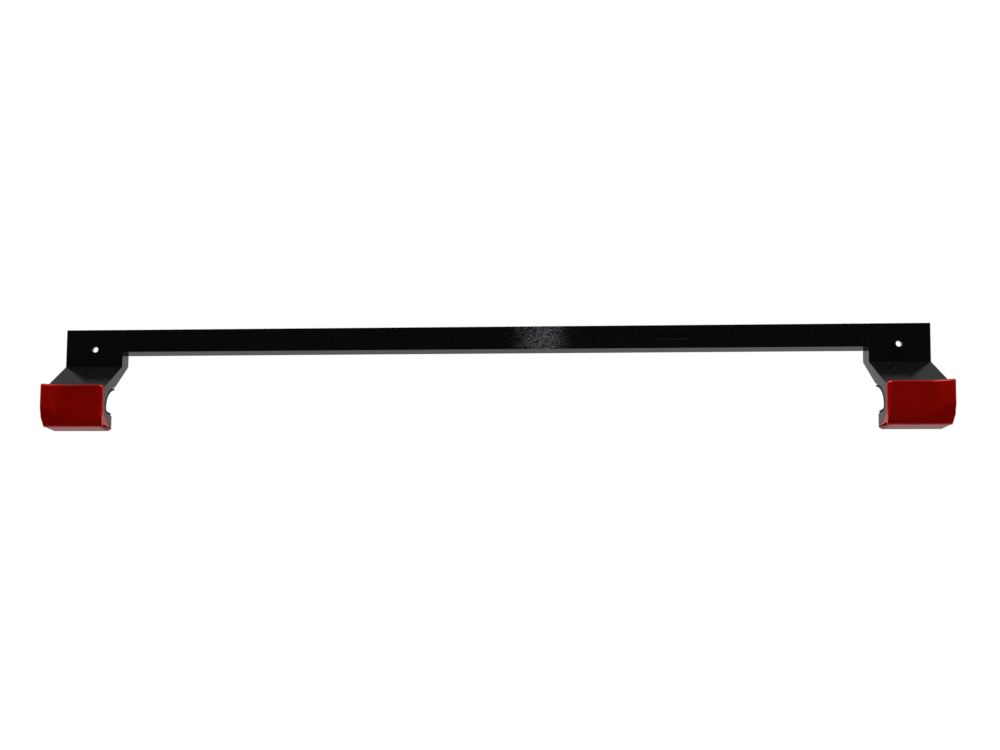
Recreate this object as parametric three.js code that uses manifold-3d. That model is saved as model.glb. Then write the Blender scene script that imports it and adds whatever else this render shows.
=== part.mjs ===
// A moulded cross bar with a screw tab and a saddle hook at each end, and a red cover over each hook.
// The bar runs along X. +Y points to the rear, which is the side that is screwed on, and +Z is up.
// Lengths are in millimetres. The shapes are drawn with Y = 0 at the bar's face and Z = 0 at the
// bar's lower edge, and the outermost group then puts the middle of the whole part at the origin.
import * as THREE from 'three';
import { mergeVertices } from 'three/addons/utils/BufferGeometryUtils.js';
import Module from 'manifold-3d';

// Driving dimensions
const overallWidth = 348; // across the outer sides of the two brackets
const bracketWidth = 23.8;
const barHeight = 9.3;
const bodyDepth = 5.2; // face to rear, the same on the bar and on the tabs
const faceWall = 1.6;
const sideWall = 1.6;
const flangeWall = 1.4; // the bar's upper and lower flange
const fitGap = 0.2; // between pieces that touch

// Ribs and face recesses of the bar
const ribCount = 11;
const ribWall = 1.2;
const ribSetback = 0.8; // how far the ribs stay inside the rear plane
const recessPitch = 146; // between the centres of the two recesses
const recessLength = 14.6;
const recessHeight = 2;
const recessDepth = 0.4;

// Tongue joint between the bar and a bracket
const tongueLength = 8;
const tongueInset = 0.8; // the tongue's edges, inside the bar's flanges
const tongueWall = 1.2;
const screwPitch = 3.8;
const screwShank = 1.7;
const screwHead = 3;
const screwHeadHeight = 0.8;
const screwHeadTaper = 0.3; // in radius, from the head's seat to its top
const screwHeadSetback = 0.2; // how far the heads stay inside the rear plane
const screwSkin = 0.6; // face wall left in front of a screw
const screwClearance = 0.25; // round a shank, in radius

// Tab of a bracket
const tabDrop = 6.2; // below the bar's lower edge
const mountHole = 2.4;
const mountChamfer = 0.25; // round the hole, on the face
const mountSeat = 7; // round recess behind the hole, which a post of the device enters
const mountWall = 1.2; // face wall left at the seat
const mountClearance = 0.3; // between the tongue's end and the seat
const mountHeight = 1.2; // above the bar's lower edge

// Arm, saddle and hook of a bracket
const armAngle = THREE.MathUtils.degToRad(42.7); // below level, running forward from the tab
const armWall = 1.5;
const armBackDrop = 4.7; // where the arm's rear edge leaves the tab
const armHeelRise = 0.8; // lower end of the arm's rear edge, above the top of the notch
const armHeelSetback = 1.6; // the same point, ahead of the saddle's axis
const saddleY = -2.8; // axis of the saddle
const saddleRadius = 8.9;
const saddleOpenAngle = THREE.MathUtils.degToRad(107.6); // upper end of the saddle's arc
const saddleFloor = 1.6; // floor, below the saddle's axis
const saddleCorner = 1.2;
const saddleCrown = 2.9; // between the arm's slope and the notch
const linerWall = 0.8;
const linerSetback = 0.6; // the liner's rear edge, inside the hook's
const hookWall = 1; // in front of the notch
const hookFloor = 4.3; // wall under the notch, at the rear
const hookLength = 6.4; // front to rear, under the notch

// Cover
const coverWall = 1.3;
const coverStep = 0.94; // how far the cover's top stands above the arm's slope
const coverSweep = 2.7; // how far the outer end sweeps forward
const coverSweepWidth = 10;
const coverSweepDrop = 7; // height above the cover's bottom at which the sweep starts to fade
const coverTopFall = 0.6; // the top's fall towards the front of the sweep
const coverFloor = 1.5; // at the rear
const coverRim = 1.1; // round on the upper front edge
const coverEdge = 2.2; // width of the round on the inner front edge
const coverRoll = 4.5; // round under the front
const coverHeel = 0.6; // round on the lower rear edge
const pegWidth = 3;
const pegDepth = 1.4;
const pegHeight = 2.2;
const pegRoot = 1; // how far a peg runs down into the cover's floor
const pegPitch = 11;

// Values that follow from them
const bracketOuter = overallWidth / 2;
const bracketInner = bracketOuter - bracketWidth;
const bracketMiddle = bracketOuter - bracketWidth / 2;
const cavityInner = bracketInner + sideWall;
const cavityOuter = bracketOuter - sideWall;
const barEnd = bracketInner - fitGap;
const barMiddle = barHeight / 2;
const tongueEnd = bracketInner + tongueLength;
const tongueHeight = barHeight - 2 * (flangeWall + tongueInset);
const screwHeadFront = bodyDepth - screwHeadSetback - screwHeadHeight;
const tongueBack = screwHeadFront - fitGap;
const tongueFront = tongueBack - tongueWall;
const padTop = tongueFront - fitGap; // the pad on the bracket that the tongue sits on
const mountX = tongueEnd + mountClearance + mountSeat / 2;
const armSlope = Math.tan(armAngle);
const linerOffset = linerWall + fitGap;
const notchRadius = saddleRadius + linerOffset;
const hookReach = notchRadius + hookWall - saddleY; // front of the hook, ahead of the bar's face
const saddleZ = -tabDrop + saddleY * armSlope - (notchRadius + saddleCrown) / Math.cos(armAngle);
const saddleBottom = saddleZ - saddleFloor;
const notchFloor = saddleBottom - linerOffset;
const armHeelY = saddleY - armHeelSetback;
const armHeelZ = saddleZ + notchRadius + armHeelRise;
const armFoot = -tabDrop - hookReach * armSlope;
const hookBottom = notchFloor - hookFloor;
const hookBackY = hookLength - hookReach;
const hookCurveZ = hookBottom + hookLength; // centre height of the curve under the hook
const linerBackY = hookBackY - linerSetback;
const coverFloorTop = hookBottom - fitGap;
const coverBottom = coverFloorTop - coverFloor;
const coverBack = hookReach + fitGap;
const coverFront = coverBack + coverWall;
const sweepFront = coverFront + coverSweep;
const coverTop = armFoot + coverStep;
const overcut = 2; // how far a cutting shape runs past the surface that it opens
const weldDistance = 1e-4;
const arcSteps = 10;
const roundSteps = 40;

const wasm = await Module();
wasm.setup();

// Materials

function glossBlack() {
  return new THREE.MeshStandardMaterial({ color: 0x0b0b0d, roughness: 0.12, metalness: 0 });
}

function metallicRed() {
  return new THREE.MeshStandardMaterial({ color: 0x8a0605, roughness: 0.3, metalness: 0.45 });
}

function blackRubber() {
  return new THREE.MeshStandardMaterial({ color: 0x141414, roughness: 0.8, metalness: 0 });
}

function blackSteel() {
  return new THREE.MeshStandardMaterial({ color: 0x2a2a2c, roughness: 0.35, metalness: 0.9 });
}

// Solids

function solidFrom(geometry) {
  geometry.deleteAttribute('normal');
  geometry.deleteAttribute('uv');
  const merged = mergeVertices(geometry, weldDistance);
  const vertProperties = merged.attributes.position.array;
  const triVerts = new Uint32Array(merged.index.array);
  return new wasm.Manifold(new wasm.Mesh({ numProp: 3, vertProperties, triVerts }));
}

function meshFrom(name, solid, material) {
  const { vertProperties, triVerts } = solid.getMesh();
  const geometry = new THREE.BufferGeometry();
  geometry.setAttribute('position', new THREE.BufferAttribute(vertProperties, 3));
  geometry.setIndex(new THREE.BufferAttribute(triVerts, 1));
  geometry.computeVertexNormals();
  const mesh = new THREE.Mesh(geometry, material);
  mesh.name = name;
  return mesh;
}

function box(x0, x1, y0, y1, z0, z1) {
  const geometry = new THREE.BoxGeometry(x1 - x0, y1 - y0, z1 - z0);
  geometry.translate((x0 + x1) / 2, (y0 + y1) / 2, (z0 + z1) / 2);
  return solidFrom(geometry);
}

// A side outline, drawn in Y and Z, carried along X.
function alongX(outline, x0, x1) {
  const geometry = new THREE.ExtrudeGeometry(outline, {
    depth: x1 - x0,
    bevelEnabled: false,
    curveSegments: arcSteps,
  });
  const turn = new THREE.Matrix4().makeBasis(
    new THREE.Vector3(0, 1, 0),
    new THREE.Vector3(0, 0, 1),
    new THREE.Vector3(1, 0, 0),
  );
  geometry.applyMatrix4(turn);
  geometry.translate(x0, 0, 0);
  return solidFrom(geometry);
}

// A plan outline, drawn in X and Y, carried up Z.
function alongZ(outline, z0, z1) {
  const geometry = new THREE.ExtrudeGeometry(outline, {
    depth: z1 - z0,
    bevelEnabled: false,
    curveSegments: arcSteps,
  });
  geometry.translate(0, 0, z0);
  return solidFrom(geometry);
}

// A round peg or hole along Y, which may taper.
function roundAlongY(x, z, y0, y1, frontRadius, rearRadius = frontRadius) {
  const geometry = new THREE.CylinderGeometry(rearRadius, frontRadius, y1 - y0, roundSteps);
  geometry.translate(x, (y0 + y1) / 2, z);
  return solidFrom(geometry);
}

function outlineOf(points) {
  return new THREE.Shape(points.map(([u, v]) => new THREE.Vector2(u, v)));
}

// Point of a circle round the saddle's axis, in Y and Z.
function saddlePoint(radius, angle) {
  return [saddleY + radius * Math.cos(angle), saddleZ + radius * Math.sin(angle)];
}

// Cross bar: a channel that is open to the rear, with ribs across it and a tongue at each end.

function faceRecess(x) {
  const half = recessLength / 2;
  const round = recessHeight / 2;
  const low = barMiddle - round;
  const high = barMiddle + round;
  const recess = box(x - half + round, x + half - round, -overcut, recessDepth, low, high);
  const leftEnd = roundAlongY(x - half + round, barMiddle, -overcut, recessDepth, round);
  const rightEnd = roundAlongY(x + half - round, barMiddle, -overcut, recessDepth, round);
  return recess.add(leftEnd).add(rightEnd);
}

function screwPlaces() {
  const middle = (cavityInner + tongueEnd) / 2;
  return [middle - screwPitch / 2, middle + screwPitch / 2];
}

function barTongue(side) {
  const ends = [side * (barEnd - ribWall), side * tongueEnd].sort((a, b) => a - b);
  const low = barMiddle - tongueHeight / 2;
  const high = barMiddle + tongueHeight / 2;
  let tongue = box(ends[0], ends[1], tongueFront, tongueBack, low, high);
  for (const x of screwPlaces()) {
    const hole = roundAlongY(
      side * x, barMiddle, tongueFront - overcut, tongueBack + overcut, screwShank / 2 + screwClearance,
    );
    tongue = tongue.subtract(hole);
  }
  return tongue;
}

function crossBar() {
  const innerLow = flangeWall;
  const innerHigh = barHeight - flangeWall;
  let bar = box(-barEnd, barEnd, 0, bodyDepth, 0, barHeight);
  const cutEnd = barEnd + overcut;
  bar = bar.subtract(box(-cutEnd, cutEnd, faceWall, bodyDepth + overcut, innerLow, innerHigh));
  const ribPitch = (2 * barEnd - ribWall) / (ribCount + 1);
  const ribBack = bodyDepth - ribSetback;
  const ribLow = flangeWall / 2;
  const ribHigh = barHeight - ribLow;
  for (let i = 0; i <= ribCount + 1; i += 1) {
    const x = -barEnd + i * ribPitch;
    bar = bar.add(box(x, x + ribWall, faceWall / 2, ribBack, ribLow, ribHigh));
  }
  for (const side of [-1, 1]) {
    bar = bar.subtract(faceRecess((side * recessPitch) / 2));
    bar = bar.add(barTongue(side));
  }
  return bar;
}

// End bracket, drawn for the right-hand end: the tab, the arm that slopes forward from it, and the
// hook with the saddle in it. It is a shell, open to the rear between its two side walls.

function bracketOutline() {
  const corner = saddleCorner + linerOffset;
  const cornerZ = notchFloor + corner;
  const cornerY = saddleY - Math.sqrt(notchRadius ** 2 - (cornerZ - saddleZ) ** 2);
  const cornerAngle = Math.atan2(cornerZ - saddleZ, cornerY - saddleY);
  const notchStart = cornerAngle < 0 ? cornerAngle + 2 * Math.PI : cornerAngle;
  const outline = new THREE.Shape();
  outline.moveTo(0, barHeight);
  outline.lineTo(0, -tabDrop);
  outline.lineTo(-hookReach, armFoot);
  outline.absarc(hookBackY, hookCurveZ, hookLength, Math.PI, Math.PI * 1.5, false);
  outline.lineTo(hookBackY, notchFloor);
  outline.lineTo(cornerY + corner, notchFloor);
  outline.quadraticCurveTo(cornerY, notchFloor, cornerY, cornerZ);
  outline.absarc(saddleY, saddleZ, notchRadius, notchStart, saddleOpenAngle, true);
  outline.lineTo(armHeelY, armHeelZ);
  outline.lineTo(bodyDepth, -armBackDrop);
  outline.lineTo(bodyDepth, barHeight);
  outline.closePath();
  return outline;
}

// The hollow behind the tab's face and behind the arm's slope.
function bracketCavity() {
  const slopeBack = -tabDrop - armWall / Math.cos(armAngle); // height of the slope's rear surface at Y = 0
  const footY = armHeelY - armWall;
  const footZ = slopeBack + footY * armSlope;
  return outlineOf([
    [faceWall, barHeight - flangeWall],
    [faceWall, slopeBack + faceWall * armSlope],
    [footY, footZ],
    [armHeelY + overcut, footZ - armWall / 2],
    [bodyDepth + overcut, -armBackDrop - overcut],
    [bodyDepth + overcut, barHeight - flangeWall],
  ].reverse());
}

function bracket() {
  let body = alongX(bracketOutline(), bracketInner, bracketOuter);
  body = body.subtract(alongX(bracketCavity(), cavityInner, cavityOuter));

  // Pad and screw holes for the bar's tongue, and the slot in the side wall that it passes through
  const padLow = barMiddle - tongueHeight / 2;
  const padHigh = barMiddle + tongueHeight / 2;
  const slotLow = padLow - fitGap;
  const slotHigh = padHigh + fitGap;
  body = body.add(box(bracketInner + sideWall / 2, tongueEnd, faceWall / 2, padTop, padLow, padHigh));
  body = body.subtract(
    box(bracketInner - overcut, cavityInner + fitGap, padTop, bodyDepth + overcut, slotLow, slotHigh),
  );
  for (const x of screwPlaces()) {
    const pilot = screwShank / 2 + screwClearance;
    body = body.subtract(roundAlongY(x, barMiddle, screwSkin, padTop + overcut, pilot));
  }

  // Mounting hole with its chamfer, and the seat behind it
  const holeRadius = mountHole / 2;
  body = body.subtract(roundAlongY(mountX, mountHeight, mountWall, bodyDepth + overcut, mountSeat / 2));
  body = body.subtract(roundAlongY(mountX, mountHeight, -overcut, bodyDepth, holeRadius));
  body = body.subtract(
    roundAlongY(mountX, mountHeight, -mountChamfer, mountChamfer, holeRadius + 2 * mountChamfer, holeRadius),
  );

  // Sockets for the cover's pegs
  for (const peg of pegBoxes(fitGap)) body = body.subtract(peg);
  return body;
}

// Cover, drawn for the right-hand end: a front wall that rolls back under the hook into a thin
// floor, and an outer end that sweeps forward.

function pegBoxes(grow) {
  const pegY = (-hookReach + hookBackY) / 2 + pegDepth;
  return [-1, 1].map((side) => {
    const x = bracketMiddle + (side * pegPitch) / 2;
    const half = pegWidth / 2 + grow;
    const deep = pegDepth / 2 + grow;
    const low = coverFloorTop - pegRoot;
    const high = coverFloorTop + pegHeight + grow;
    return box(x - half, x + half, pegY - deep, pegY + deep, low, high);
  });
}

function coverSection() {
  const section = new THREE.Shape();
  section.moveTo(-coverBack, coverTop);
  section.lineTo(-coverFront + coverRim, coverTop);
  section.absarc(-coverFront + coverRim, coverTop - coverRim, coverRim, Math.PI / 2, Math.PI, false);
  section.absarc(
    -coverFront + coverRoll, coverBottom + coverRoll, coverRoll, Math.PI, Math.PI * 1.5, false,
  );
  section.absarc(hookBackY - coverHeel, coverBottom + coverHeel, coverHeel, -Math.PI / 2, 0, false);
  section.absarc(hookBackY, hookCurveZ, hookLength + fitGap, Math.PI * 1.5, Math.PI, true);
  section.closePath();
  return section;
}

function coverPlan() {
  const plan = new THREE.Shape();
  plan.moveTo(bracketInner, hookBackY + overcut);
  plan.lineTo(bracketInner, -coverBack);
  plan.quadraticCurveTo(bracketInner, -coverFront, bracketInner + coverEdge, -coverFront);
  plan.lineTo(bracketInner + coverEdge, -sweepFront);
  plan.lineTo(bracketOuter, -sweepFront);
  plan.lineTo(bracketOuter, hookBackY + overcut);
  plan.closePath();
  return plan;
}

function sweepPlan() {
  const start = bracketOuter - coverSweepWidth;
  const half = bracketOuter - coverSweepWidth / 2;
  const plan = new THREE.Shape();
  plan.moveTo(start, -coverBack);
  plan.lineTo(start, -coverFront);
  plan.bezierCurveTo(half, -coverFront, bracketOuter - 2 * coverRim, -sweepFront, bracketOuter, -sweepFront);
  plan.lineTo(bracketOuter, -coverBack);
  plan.closePath();
  return plan;
}

function sweepSection() {
  const section = new THREE.Shape();
  section.moveTo(-coverBack, coverTop);
  section.lineTo(-sweepFront, coverTop - coverTopFall);
  section.lineTo(-sweepFront, coverBottom + coverSweepDrop);
  section.quadraticCurveTo(-coverFront - coverSweep / 2, coverBottom, -coverFront + coverRoll, coverBottom);
  section.lineTo(-coverBack, coverBottom + coverRoll);
  section.closePath();
  return section;
}

function cover() {
  const sweepStart = bracketOuter - coverSweepWidth;
  let body = alongX(coverSection(), bracketInner, bracketOuter);
  body = body.intersect(alongZ(coverPlan(), coverBottom - overcut, coverTop + overcut));
  const sweep = alongZ(sweepPlan(), coverBottom - overcut, coverTop + overcut);
  body = body.add(sweep.intersect(alongX(sweepSection(), sweepStart, bracketOuter)));
  for (const peg of pegBoxes(0)) body = body.add(peg);
  return body;
}

// Liner: the strip that follows the saddle's arc, corner and floor.
function saddleLiner() {
  const outerRadius = saddleRadius + linerWall;
  const outerCorner = saddleCorner + linerWall;
  const cornerZ = saddleBottom + saddleCorner;
  const innerCornerY = saddleY - Math.sqrt(saddleRadius ** 2 - (cornerZ - saddleZ) ** 2);
  const outerCornerY = innerCornerY - linerWall;
  const points = [];
  const arc = (radius, from, to) => {
    for (let i = 0; i <= arcSteps; i += 1) {
      points.push(saddlePoint(radius, from + ((to - from) * i) / arcSteps));
    }
  };
  const innerFrom = Math.PI + Math.asin((saddleZ - cornerZ) / saddleRadius);
  arc(saddleRadius, saddleOpenAngle, innerFrom);
  const innerCurve = new THREE.QuadraticBezierCurve(
    new THREE.Vector2(innerCornerY, cornerZ),
    new THREE.Vector2(innerCornerY, saddleBottom),
    new THREE.Vector2(innerCornerY + saddleCorner, saddleBottom),
  );
  const outerCurve = new THREE.QuadraticBezierCurve(
    new THREE.Vector2(outerCornerY + outerCorner, saddleBottom - linerWall),
    new THREE.Vector2(outerCornerY, saddleBottom - linerWall),
    new THREE.Vector2(outerCornerY, cornerZ),
  );
  innerCurve.getPoints(arcSteps / 2).slice(1).forEach((p) => points.push([p.x, p.y]));
  points.push([linerBackY, saddleBottom], [linerBackY, saddleBottom - linerWall]);
  outerCurve.getPoints(arcSteps / 2).slice(0, -1).forEach((p) => points.push([p.x, p.y]));
  const outerFrom = Math.PI + Math.asin((saddleZ - cornerZ) / outerRadius);
  arc(outerRadius, outerFrom, saddleOpenAngle);
  return alongX(outlineOf(points), bracketInner, bracketOuter);
}

// Pan-head screw, its head on the rear of the tongue and its tip in the bracket's pad.
function barScrew(x) {
  const tip = screwSkin + fitGap;
  const headBack = screwHeadFront + screwHeadHeight;
  const headRadius = screwHead / 2;
  const shank = roundAlongY(x, barMiddle, tip, screwHeadFront + screwHeadHeight / 2, screwShank / 2);
  const head = roundAlongY(x, barMiddle, screwHeadFront, headBack, headRadius, headRadius - screwHeadTaper);
  return shank.add(head);
}

function bracketEnd(name, mirror) {
  const end = new THREE.Group();
  const [innerScrew, outerScrew] = screwPlaces();
  end.add(meshFrom(`${name}_bracket`, bracket(), glossBlack()));
  end.add(meshFrom(`${name}_cover`, cover(), metallicRed()));
  end.add(meshFrom(`${name}_saddle_liner`, saddleLiner(), blackRubber()));
  end.add(meshFrom(`${name}_bar_screw_inner`, barScrew(innerScrew), blackSteel()));
  end.add(meshFrom(`${name}_bar_screw_outer`, barScrew(outerScrew), blackSteel()));
  end.scale.x = mirror;
  return end;
}

const part = new THREE.Group();
part.add(meshFrom('cross_bar', crossBar(), glossBlack()));
part.add(bracketEnd('left', -1));
part.add(bracketEnd('right', 1));
part.position.y = (sweepFront - bodyDepth) / 2;
part.position.z = -(barHeight + coverBottom) / 2;

const group = new THREE.Group();
group.add(part);

export default group;
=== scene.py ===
import bmesh
import bpy
import math
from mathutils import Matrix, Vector


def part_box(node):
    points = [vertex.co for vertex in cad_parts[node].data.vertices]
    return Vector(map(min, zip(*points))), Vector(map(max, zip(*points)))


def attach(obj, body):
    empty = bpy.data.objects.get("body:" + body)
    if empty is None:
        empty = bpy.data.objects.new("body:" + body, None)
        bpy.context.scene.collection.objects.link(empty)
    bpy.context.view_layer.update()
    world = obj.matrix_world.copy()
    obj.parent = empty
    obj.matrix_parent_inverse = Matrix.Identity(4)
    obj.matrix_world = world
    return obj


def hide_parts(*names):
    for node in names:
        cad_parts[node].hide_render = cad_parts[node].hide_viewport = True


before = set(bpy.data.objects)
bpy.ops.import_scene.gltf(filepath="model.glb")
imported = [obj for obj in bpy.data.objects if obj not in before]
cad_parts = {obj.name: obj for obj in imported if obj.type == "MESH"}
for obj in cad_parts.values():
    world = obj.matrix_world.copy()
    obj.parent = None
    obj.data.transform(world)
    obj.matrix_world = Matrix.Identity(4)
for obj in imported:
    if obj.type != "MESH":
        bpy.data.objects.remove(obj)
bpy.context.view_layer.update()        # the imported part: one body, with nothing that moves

mm = 0.001
print("frame loaded:", len(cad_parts), "nodes")


# helpers for working by hand

def deselectAll():
    if bpy.context.object and bpy.context.object.mode != "OBJECT":
        bpy.ops.object.mode_set(mode="OBJECT")
    bpy.ops.object.select_all(action="DESELECT")


def makeActive(piece):
    deselectAll()
    piece.select_set(True)
    bpy.context.view_layer.objects.active = piece


def pick(piece, kind, test):    # into edit mode, with only what passes the test selected
    makeActive(piece)
    bpy.ops.object.mode_set(mode="EDIT")
    bpy.ops.mesh.select_mode(type=kind)
    bpy.ops.mesh.select_all(action="DESELECT")
    mesh = bmesh.from_edit_mesh(piece.data)
    group = {"VERT": mesh.verts, "EDGE": mesh.edges, "FACE": mesh.faces}[kind]
    group.ensure_lookup_table()
    for item in group:
        if test(item):
            item.select_set(True)
    mesh.select_flush_mode()
    bmesh.update_edit_mesh(piece.data)


def near(a, b, slack=0.02 * mm):
    return abs(a - b) < slack


def alongX(edge, y, z):    # an edge that runs along X at this place
    return all(near(v.co.y, y) and near(v.co.z, z) for v in edge.verts)


def applyPlace(piece):
    makeActive(piece)
    bpy.ops.object.transform_apply(location=True, rotation=True, scale=True)


def boxPiece(name, low, high):
    deselectAll()
    middle = [(a + b) / 2 for a, b in zip(low, high)]
    bpy.ops.mesh.primitive_cube_add(size=1, location=middle)
    piece = bpy.context.object
    piece.name = name
    piece.scale = [b - a for a, b in zip(low, high)]
    applyPlace(piece)
    return piece


def applyModifiers(piece):
    makeActive(piece)
    for modifier in list(piece.modifiers):
        bpy.ops.object.modifier_apply(modifier=modifier.name)


def smooth(piece, angle=32):
    makeActive(piece)
    bpy.ops.object.shade_smooth_by_angle(angle=math.radians(angle))


def flattenNormals(piece):    # large flat faces stay flat beside their rounded edges
    weighted = piece.modifiers.new("flatFaces", "WEIGHTED_NORMAL")
    weighted.mode = "FACE_AREA"
    weighted.weight = 100
    weighted.keep_sharp = True
    applyModifiers(piece)


def finishPiece(piece, material, slotName, *nodes):
    piece.data.materials.clear()
    piece.data.materials.append(material)
    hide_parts(*nodes)
    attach(piece, "root")


def mirrorCopy(piece, name):    # the same piece for the other end, with its own mesh
    makeActive(piece)
    bpy.ops.object.duplicate(linked=False)
    copy = bpy.context.object
    copy.name = name
    copy.scale.x = -1
    applyPlace(copy)
    pick(copy, "FACE", lambda face: True)
    bpy.ops.mesh.normals_make_consistent(inside=False)
    deselectAll()
    return copy


# materials

def newMaterial(name):
    material = bpy.data.materials.new(name)
    material.use_nodes = True
    nodes = material.node_tree.nodes
    return material, nodes, material.node_tree.links, nodes["Principled BSDF"]


def objectPattern(nodes, links, stretch):
    place = nodes.new("ShaderNodeTexCoord")
    mapping = nodes.new("ShaderNodeMapping")
    mapping.inputs["Scale"].default_value = stretch
    links.new(place.outputs["Object"], mapping.inputs["Vector"])
    return mapping.outputs["Vector"]


def addNoise(nodes, links, vector, scale, detail):
    noise = nodes.new("ShaderNodeTexNoise")
    noise.inputs["Scale"].default_value = scale
    noise.inputs["Detail"].default_value = detail
    links.new(vector, noise.inputs["Vector"])
    return noise.outputs["Fac"]


def addRange(nodes, links, value, low, high, fromLow=0.3, fromHigh=0.7):
    spread = nodes.new("ShaderNodeMapRange")
    spread.inputs["From Min"].default_value = fromLow
    spread.inputs["From Max"].default_value = fromHigh
    spread.inputs["To Min"].default_value = low
    spread.inputs["To Max"].default_value = high
    links.new(value, spread.inputs["Value"])
    return spread.outputs["Result"]


def addTint(nodes, links, value, first, second):
    tint = nodes.new("ShaderNodeMix")
    tint.data_type = "RGBA"
    tint.inputs["A"].default_value = first
    tint.inputs["B"].default_value = second
    links.new(value, tint.inputs["Factor"])
    return tint.outputs["Result"]


def addBump(nodes, links, height, strength, distance, under=None):
    bump = nodes.new("ShaderNodeBump")
    bump.inputs["Strength"].default_value = strength
    bump.inputs["Distance"].default_value = distance
    links.new(height, bump.inputs["Height"])
    if under:
        links.new(under, bump.inputs["Normal"])
    return bump.outputs["Normal"]


glossSettings = {
    "tones": ((0.0030, 0.0030, 0.0034, 1), (0.0048, 0.0048, 0.0054, 1)),
    "roughness": (0.035, 0.075),
    "specular": 0.42,
    "flow": (1, 7, 7),    # moulding flow lines run along the bar
}


def makeGlossBlack():
    material, nodes, links, shader = newMaterial("glossBlackPlastic")
    flow = objectPattern(nodes, links, glossSettings["flow"])
    even = objectPattern(nodes, links, (1, 1, 1))
    cloud = addNoise(nodes, links, even, 90, 3)
    lines = addNoise(nodes, links, flow, 260, 5)
    fine = addNoise(nodes, links, even, 2600, 2)
    tint = addTint(nodes, links, cloud, *glossSettings["tones"])
    links.new(tint, shader.inputs["Base Color"])
    links.new(addRange(nodes, links, cloud, *glossSettings["roughness"]), shader.inputs["Roughness"])
    shader.inputs["Specular IOR Level"].default_value = glossSettings["specular"]
    flowBump = addBump(nodes, links, lines, 0.9, 0.04 * mm)
    links.new(addBump(nodes, links, fine, 0.05, 0.01 * mm, flowBump), shader.inputs["Normal"])
    return material


redSettings = {
    "tones": ((0.36, 0.0030, 0.0012, 1), (0.62, 0.0060, 0.0020, 1)),
    "metallic": 0.7,
    "roughness": (0.34, 0.50),
    "edgeTint": (0.22, 0.012, 0.008, 1),
    "coatRoughness": 0.05,
    "flake": 5200,
}


def makeMetallicRed():
    material, nodes, links, shader = newMaterial("metallicRedLacquer")
    even = objectPattern(nodes, links, (1, 1, 1))
    flakes = nodes.new("ShaderNodeTexVoronoi")
    flakes.inputs["Scale"].default_value = redSettings["flake"]
    links.new(even, flakes.inputs["Vector"])
    grey = nodes.new("ShaderNodeSeparateColor")
    links.new(flakes.outputs["Color"], grey.inputs["Color"])
    cloud = addNoise(nodes, links, even, 140, 2)
    blend = nodes.new("ShaderNodeMath")
    blend.operation = "MULTIPLY_ADD"
    blend.inputs[1].default_value = 0.55
    links.new(grey.outputs["Red"], blend.inputs[0])
    links.new(addRange(nodes, links, cloud, 0.05, 0.40), blend.inputs[2])
    links.new(addTint(nodes, links, blend.outputs[0], *redSettings["tones"]), shader.inputs["Base Color"])
    links.new(addRange(nodes, links, grey.outputs["Green"], *redSettings["roughness"], 0, 1),
              shader.inputs["Roughness"])
    shader.inputs["Metallic"].default_value = redSettings["metallic"]
    shader.inputs["Specular Tint"].default_value = redSettings["edgeTint"]
    shader.inputs["Coat Weight"].default_value = 0.8
    shader.inputs["Coat Roughness"].default_value = redSettings["coatRoughness"]
    shader.inputs["Coat IOR"].default_value = 1.45
    links.new(addBump(nodes, links, grey.outputs["Blue"], 0.12, 0.01 * mm), shader.inputs["Normal"])
    peel = addNoise(nodes, links, even, 900, 2)
    links.new(addBump(nodes, links, peel, 0.06, 0.02 * mm), shader.inputs["Coat Normal"])
    return material


def makeBlackRubber():
    material, nodes, links, shader = newMaterial("blackRubber")
    even = objectPattern(nodes, links, (1, 1, 1))
    grain = addNoise(nodes, links, even, 2400, 4)
    dust = addNoise(nodes, links, even, 260, 3)
    tint = addTint(nodes, links, dust, (0.010, 0.010, 0.010, 1), (0.020, 0.020, 0.021, 1))
    links.new(tint, shader.inputs["Base Color"])
    links.new(addRange(nodes, links, grain, 0.62, 0.85), shader.inputs["Roughness"])
    links.new(addBump(nodes, links, grain, 0.25, 0.03 * mm), shader.inputs["Normal"])
    return material


def makeBlackSteel():
    material, nodes, links, shader = newMaterial("blackenedSteel")
    even = objectPattern(nodes, links, (1, 1, 1))
    grain = addNoise(nodes, links, even, 1500, 5)
    wear = addNoise(nodes, links, even, 420, 3)
    tint = addTint(nodes, links, wear, (0.030, 0.030, 0.033, 1), (0.085, 0.085, 0.090, 1))
    links.new(tint, shader.inputs["Base Color"])
    shader.inputs["Metallic"].default_value = 0.9
    links.new(addRange(nodes, links, grain, 0.28, 0.48), shader.inputs["Roughness"])
    links.new(addBump(nodes, links, grain, 0.10, 0.02 * mm), shader.inputs["Normal"])
    return material


glossBlack = makeGlossBlack()
metallicRed = makeMetallicRed()
blackRubber = makeBlackRubber()
blackSteel = makeBlackSteel()
print("materials made")


# mouldings: the bar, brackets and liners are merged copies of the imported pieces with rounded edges

mouldSettings = {"edge": 0.12 * mm, "segments": 3, "sharp": 24, "flat": 0.4}
linerSettings = {"edge": 0.10 * mm, "segments": 2, "sharp": 24, "flat": 0.4}


def mouldedPiece(node, settings, material, slotName):
    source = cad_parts[node]
    piece = bpy.data.objects.new(node + "_moulded", source.data.copy())
    bpy.context.scene.collection.objects.link(piece)
    pick(piece, "VERT", lambda vertex: True)
    bpy.ops.mesh.remove_doubles(threshold=0.001 * mm)
    bpy.ops.mesh.dissolve_limited(angle_limit=math.radians(settings["flat"]))
    deselectAll()
    edges = piece.modifiers.new("edges", "BEVEL")
    edges.width = settings["edge"]
    edges.segments = settings["segments"]
    edges.limit_method = "ANGLE"
    edges.angle_limit = math.radians(settings["sharp"])
    edges.use_clamp_overlap = True
    applyModifiers(piece)
    smooth(piece)
    flattenNormals(piece)
    finishPiece(piece, material, slotName, node)
    return piece


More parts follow.
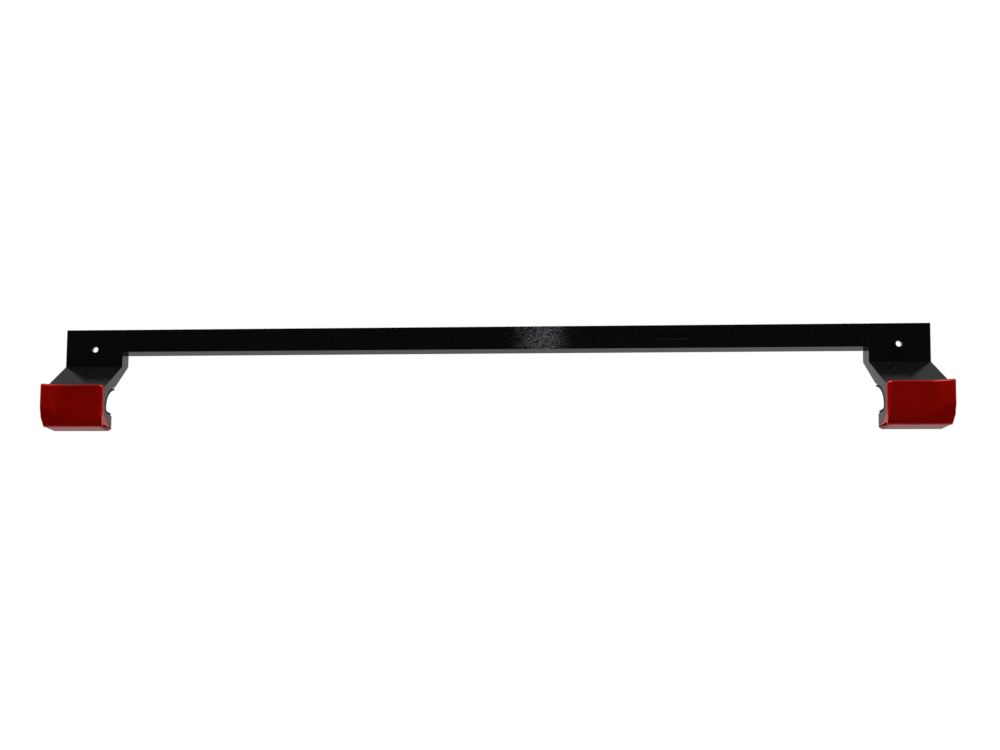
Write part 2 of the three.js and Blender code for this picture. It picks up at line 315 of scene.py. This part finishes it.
mouldedPiece("cross_bar", mouldSettings, glossBlack, "gloss_black")
for side in ("left", "right"):
    mouldedPiece(side + "_bracket", mouldSettings, glossBlack, "gloss_black")
    mouldedPiece(side + "_saddle_liner", linerSettings, blackRubber, "black_rubber")
print("mouldings done")


# covers: a front wall and floor, rolled and rounded, with the outer end swept forward

coverSettings = {
    "wall": 1.3 * mm,
    "floor": 1.5 * mm,
    "rim": 1.15 * mm,
    "roll": 4.5 * mm,
    "heel": 0.6 * mm,
    "innerEdge": 1.0 * mm,
    "innerStretch": 2.2,     # the inner edge is rounder across the face than it is deep
    "outerEdge": 0.55 * mm,
    "sweep": 2.7 * mm,
    "sweepWidth": 10 * mm,
    "sweepCuts": 14,
    "sweepEase": 0.6,
    "rowCuts": 6,
    "rowStep": 0.7 * mm,
    "fade": 7 * mm,          # height above the bottom at which the sweep starts to fade
}


def outerSkin(vertex, low, high, front):    # on the cover's outer surface, seen from the side
    s = coverSettings
    y, z = vertex.co.y, vertex.co.z
    if z > high.z - s["rim"] - 0.02 * mm:
        return y < front + s["wall"] - 0.05 * mm or near(z, high.z)
    if y < front + 0.02 * mm or z < low.z + 0.02 * mm:
        return True
    reach = math.hypot(y - front - s["roll"], z - low.z - s["roll"])
    return y < front + s["roll"] and z < low.z + s["roll"] and near(reach, s["roll"], 0.06 * mm)


def roundEnd(piece, x, width, segments, low, high, front):    # rounds the outer skin's edge at one end
    def onEnd(edge):
        return all(near(v.co.x, x) and outerSkin(v, low, high, front) for v in edge.verts)
    pick(piece, "EDGE", onEnd)
    bpy.ops.mesh.bevel(offset=width, offset_type="OFFSET", segments=segments, profile=0.5,
                       affect="EDGES", clamp_overlap=False, loop_slide=True)


def coverSweep(x, outerX):
    s = coverSettings
    t = min(1, max(0, (x - outerX + s["sweepWidth"]) / s["sweepWidth"]))
    return t * t * (1 + s["sweepEase"] - s["sweepEase"] * t)


def makeCover():
    s = coverSettings
    low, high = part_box("right_cover")
    floorTop = low.z + s["floor"]
    back = low.y + s["sweep"] + s["wall"]
    front = low.y + s["sweep"]
    piece = boxPiece("right_cover_shell", (low.x, front, low.z), (high.x, back, high.z))
    pick(piece, "FACE", lambda face: True)
    bpy.ops.mesh.bisect(plane_co=(0, 0, floorTop), plane_no=(0, 0, 1))
    pick(piece, "FACE", lambda face: face.normal.y > 0.9 and face.calc_center_median().z < floorTop)
    bpy.ops.mesh.extrude_region_move(TRANSFORM_OT_translate={"value": (0, high.y - back, 0)})
    pick(piece, "EDGE", lambda edge: all(near(v.co.z, floorTop) and v.co.y < back + 0.02 * mm
                                         for v in edge.verts) and not alongX(edge, back, floorTop))
    bpy.ops.mesh.dissolve_edges(use_verts=True)    # the cut is only wanted at the rear
    inner = high.y - back - 0.05 * mm
    for y, z, width, segments in (
        (back, floorTop, inner, 14),
        (front, low.z, s["roll"], 12),
        (front, high.z, s["rim"], 6),
    ):
        pick(piece, "EDGE", lambda edge: alongX(edge, y, z))
        bpy.ops.mesh.bevel(offset=width, offset_type="OFFSET", segments=segments, profile=0.5,
                           affect="EDGES", clamp_overlap=False)
    roundEnd(piece, low.x, s["innerEdge"], 6, low, high, front)
    roundEnd(piece, high.x, s["outerEdge"], 3, low, high, front)
    pick(piece, "EDGE", lambda edge: alongX(edge, high.y, low.z))
    bpy.ops.mesh.bevel(offset=s["heel"], offset_type="OFFSET", segments=4, profile=0.5,
                       affect="EDGES", clamp_overlap=True)
    pick(piece, "VERT", lambda v: v.co.x < low.x + s["innerEdge"] + 0.02 * mm)
    bpy.ops.transform.resize(value=(s["innerStretch"], 1, 1), center_override=(low.x, 0, 0))
    for i in range(s["sweepCuts"]):
        x = high.x - s["outerEdge"] - s["sweepWidth"] * (i + 0.5) / s["sweepCuts"]
        pick(piece, "FACE", lambda face: True)
        bpy.ops.mesh.bisect(plane_co=(x, 0, 0), plane_no=(1, 0, 0))
    for i in range(s["rowCuts"]):
        z = low.z + s["roll"] + (i + 0.5) * s["rowStep"]
        pick(piece, "FACE", lambda face: True)
        bpy.ops.mesh.bisect(plane_co=(0, 0, z), plane_no=(0, 0, 1))
    deselectAll()
    group = piece.vertex_groups.new(name="sweep")
    for v in piece.data.vertices:
        deep = min(1, max(0, (back - v.co.y) / s["wall"]))
        rolled = min(1, max(0, (front + s["roll"] - v.co.y) / s["roll"]))
        rise = min(1, max(0, (v.co.z - low.z) / s["fade"]))
        fade = rise * rise * (3 - 2 * rise)
        hold = deep if v.co.z > low.z + s["roll"] else rolled
        if v.co.y < front + s["roll"] and (v.co.z < low.z + s["roll"] or deep > 0):
            group.add([v.index], coverSweep(v.co.x, high.x) * fade * hold, "REPLACE")
    sweep = piece.modifiers.new("sweep", "DISPLACE")
    sweep.direction = "Y"
    sweep.mid_level = 0
    sweep.strength = -s["sweep"]
    sweep.vertex_group = "sweep"
    applyModifiers(piece)
    piece.vertex_groups.clear()
    smooth(piece, 40)
    return piece


rightCover = makeCover()
leftCover = mirrorCopy(rightCover, "left_cover_shell")
smooth(leftCover, 40)
flattenNormals(rightCover)
flattenNormals(leftCover)
finishPiece(rightCover, metallicRed, "metallic_red", "right_cover")
finishPiece(leftCover, metallicRed, "metallic_red", "left_cover")
print("covers done")


# bar screws: a domed pan head with a cross recess, on a shank that runs forward into the pad

screwSettings = {
    "headDepth": 0.8 * mm,
    "dome": 0.28 * mm,
    "shank": 0.85 * mm,
    "cross": 0.42 * mm,
    "slot": 0.26 * mm,
}


def makeScrew(node):
    s = screwSettings
    low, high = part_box(node)
    x, z = (low.x + high.x) / 2, (low.z + high.z) / 2
    radius = (high.x - low.x) / 2
    headFront = high.y - s["headDepth"]
    turn = (math.radians(90), 0, 0)
    deselectAll()
    bpy.ops.mesh.primitive_cylinder_add(vertices=48, radius=radius, depth=s["headDepth"],
                                        location=(x, headFront + s["headDepth"] / 2, z), rotation=turn)
    piece = bpy.context.object
    piece.name = node + "_turned"
    applyPlace(piece)
    pick(piece, "EDGE", lambda edge: all(near(v.co.y, high.y) for v in edge.verts))
    bpy.ops.mesh.bevel(offset=s["dome"], segments=5, profile=0.5, affect="EDGES", clamp_overlap=True)
    pick(piece, "FACE", lambda face: face.normal.y < -0.9)
    bpy.ops.mesh.inset(thickness=radius - s["shank"])
    bpy.ops.mesh.extrude_region_move(TRANSFORM_OT_translate={"value": (0, low.y - headFront, 0)})
    deselectAll()
    for wide, tall in ((s["slot"], s["cross"] * 4), (s["cross"] * 4, s["slot"])):
        cutter = boxPiece("recess", (x - wide / 2, high.y - s["cross"], z - tall / 2),
                          (x + wide / 2, high.y + s["cross"], z + tall / 2))
        cut = piece.modifiers.new("recess", "BOOLEAN")
        cut.operation = "DIFFERENCE"
        cut.object = cutter
        applyModifiers(piece)
        makeActive(cutter)
        bpy.ops.object.delete()
    smooth(piece, 30)
    finishPiece(piece, blackSteel, "black_steel", node)


for node in sorted(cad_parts):
    if "bar_screw" in node:
        makeScrew(node)
print("screws done")


# camera, light and floor

cameraSettings = {
    "place": (0.00983, -0.31039, -0.09984),
    "turn": (93.0, -0.565, 2.808),
    "lens": 28.8,
    "shift": (0.0298, 0.2121),
}
lightSettings = {
    "keyPlace": (0.05, -0.42, 0.62),
    "keySize": 0.45,
    "keyPower": 3.0,
    "spotPlace": (0.034, -0.31, 0.134),
    "spotSize": (0.022, 0.005),
    "spotPower": 0.0045,
    "spotColour": (0.86, 0.93, 1.0),
    "ambient": 0.4,
    "floorHeight": -0.26,
    "floorSize": 160,
}
cardSettings = (    # name, middle, size, tilt in degrees, tone
    ("frontFlag", (0, -0.95, 0.55), (3.2, 1.9), 58, 0.0),
    ("lowFlag", (0, -0.87, -0.25), (3.2, 1.5), 0, 0.0),
    ("greyTop", (0, 0.9, 1.6), (6, 2.6), 0, 0.28),
    ("greyUnder", (0, 1.15, -0.25), (5, 2.5), 0, 0.55),
)


def addCamera():
    deselectAll()
    bpy.ops.object.camera_add(location=cameraSettings["place"])
    camera = bpy.context.object
    camera.name = "camera"
    camera.rotation_euler = [math.radians(a) for a in cameraSettings["turn"]]
    camera.data.sensor_width = 36
    camera.data.lens = cameraSettings["lens"]
    camera.data.shift_x, camera.data.shift_y = cameraSettings["shift"]
    camera.data.clip_start = 0.01
    camera.data.clip_end = 20
    bpy.context.scene.camera = camera


def addLight(name, place, size, power):
    deselectAll()
    bpy.ops.object.light_add(type="AREA", location=place)
    light = bpy.context.object
    light.name = name
    light.data.shape = "RECTANGLE"
    light.data.size, light.data.size_y = size
    light.data.energy = power
    light.rotation_euler = (-Vector(place)).to_track_quat("-Z", "Y").to_euler()
    return light


def seenDirectly(nodes, links):    # 1 for camera, glossy and transmission rays
    path = nodes.new("ShaderNodeLightPath")
    value = path.outputs["Is Camera Ray"]
    for ray in ("Is Glossy Ray", "Is Transmission Ray"):
        either = nodes.new("ShaderNodeMath")
        either.operation = "MAXIMUM"
        links.new(value, either.inputs[0])
        links.new(path.outputs[ray], either.inputs[1])
        value = either.outputs[0]
    return value


def addWorld():
    world = bpy.data.worlds.new("studio")
    bpy.context.scene.world = world
    world.use_nodes = True
    nodes, links = world.node_tree.nodes, world.node_tree.links
    background = nodes["Background"]
    background.inputs["Color"].default_value = (1, 1, 1, 1)
    level = addRange(nodes, links, seenDirectly(nodes, links), lightSettings["ambient"], 1, 0, 1)
    links.new(level, background.inputs["Strength"])


def addFloor():
    deselectAll()
    bpy.ops.mesh.primitive_plane_add(size=lightSettings["floorSize"], location=(0, 0, lightSettings["floorHeight"]))
    floor = bpy.context.object
    floor.name = "floor"
    material, nodes, links, shader = newMaterial("paleFloor")
    shader.inputs["Base Color"].default_value = (0.9, 0.9, 0.9, 1)
    shader.inputs["Roughness"].default_value = 0.9
    shader.inputs["Emission Color"].default_value = (1, 1, 1, 1)
    level = addRange(nodes, links, seenDirectly(nodes, links), 0, 0.7, 0, 1)
    links.new(level, shader.inputs["Emission Strength"])
    floor.data.materials.append(material)


def addCard(name, middle, size, tilt, tone):    # seen only in gloss
    deselectAll()
    bpy.ops.mesh.primitive_plane_add(size=1, location=middle, rotation=(math.radians(tilt), 0, 0))
    card = bpy.context.object
    card.name = name
    card.scale = (size[0], size[1], 1)
    material, nodes, links, shader = newMaterial(name + "Felt")
    shader.inputs["Base Color"].default_value = (0, 0, 0, 1)
    shader.inputs["Roughness"].default_value = 1
    shader.inputs["Specular IOR Level"].default_value = 0
    shader.inputs["Emission Color"].default_value = (tone, tone, tone, 1)
    shader.inputs["Emission Strength"].default_value = 1
    card.data.materials.append(material)
    card.visible_camera = False
    card.visible_diffuse = False
    card.visible_shadow = False
    card.visible_transmission = False


addCamera()
addWorld()
addFloor()
addLight("softKey", lightSettings["keyPlace"], (lightSettings["keySize"],) * 2, lightSettings["keyPower"])
flash = addLight("faceSpot", lightSettings["spotPlace"], lightSettings["spotSize"], lightSettings["spotPower"])
flash.data.color = lightSettings["spotColour"]
for name, place, size, tilt, tone in cardSettings:
    addCard(name, place, size, tilt, tone)
print("studio set")

bpy.context.scene.view_settings.view_transform = "Standard"
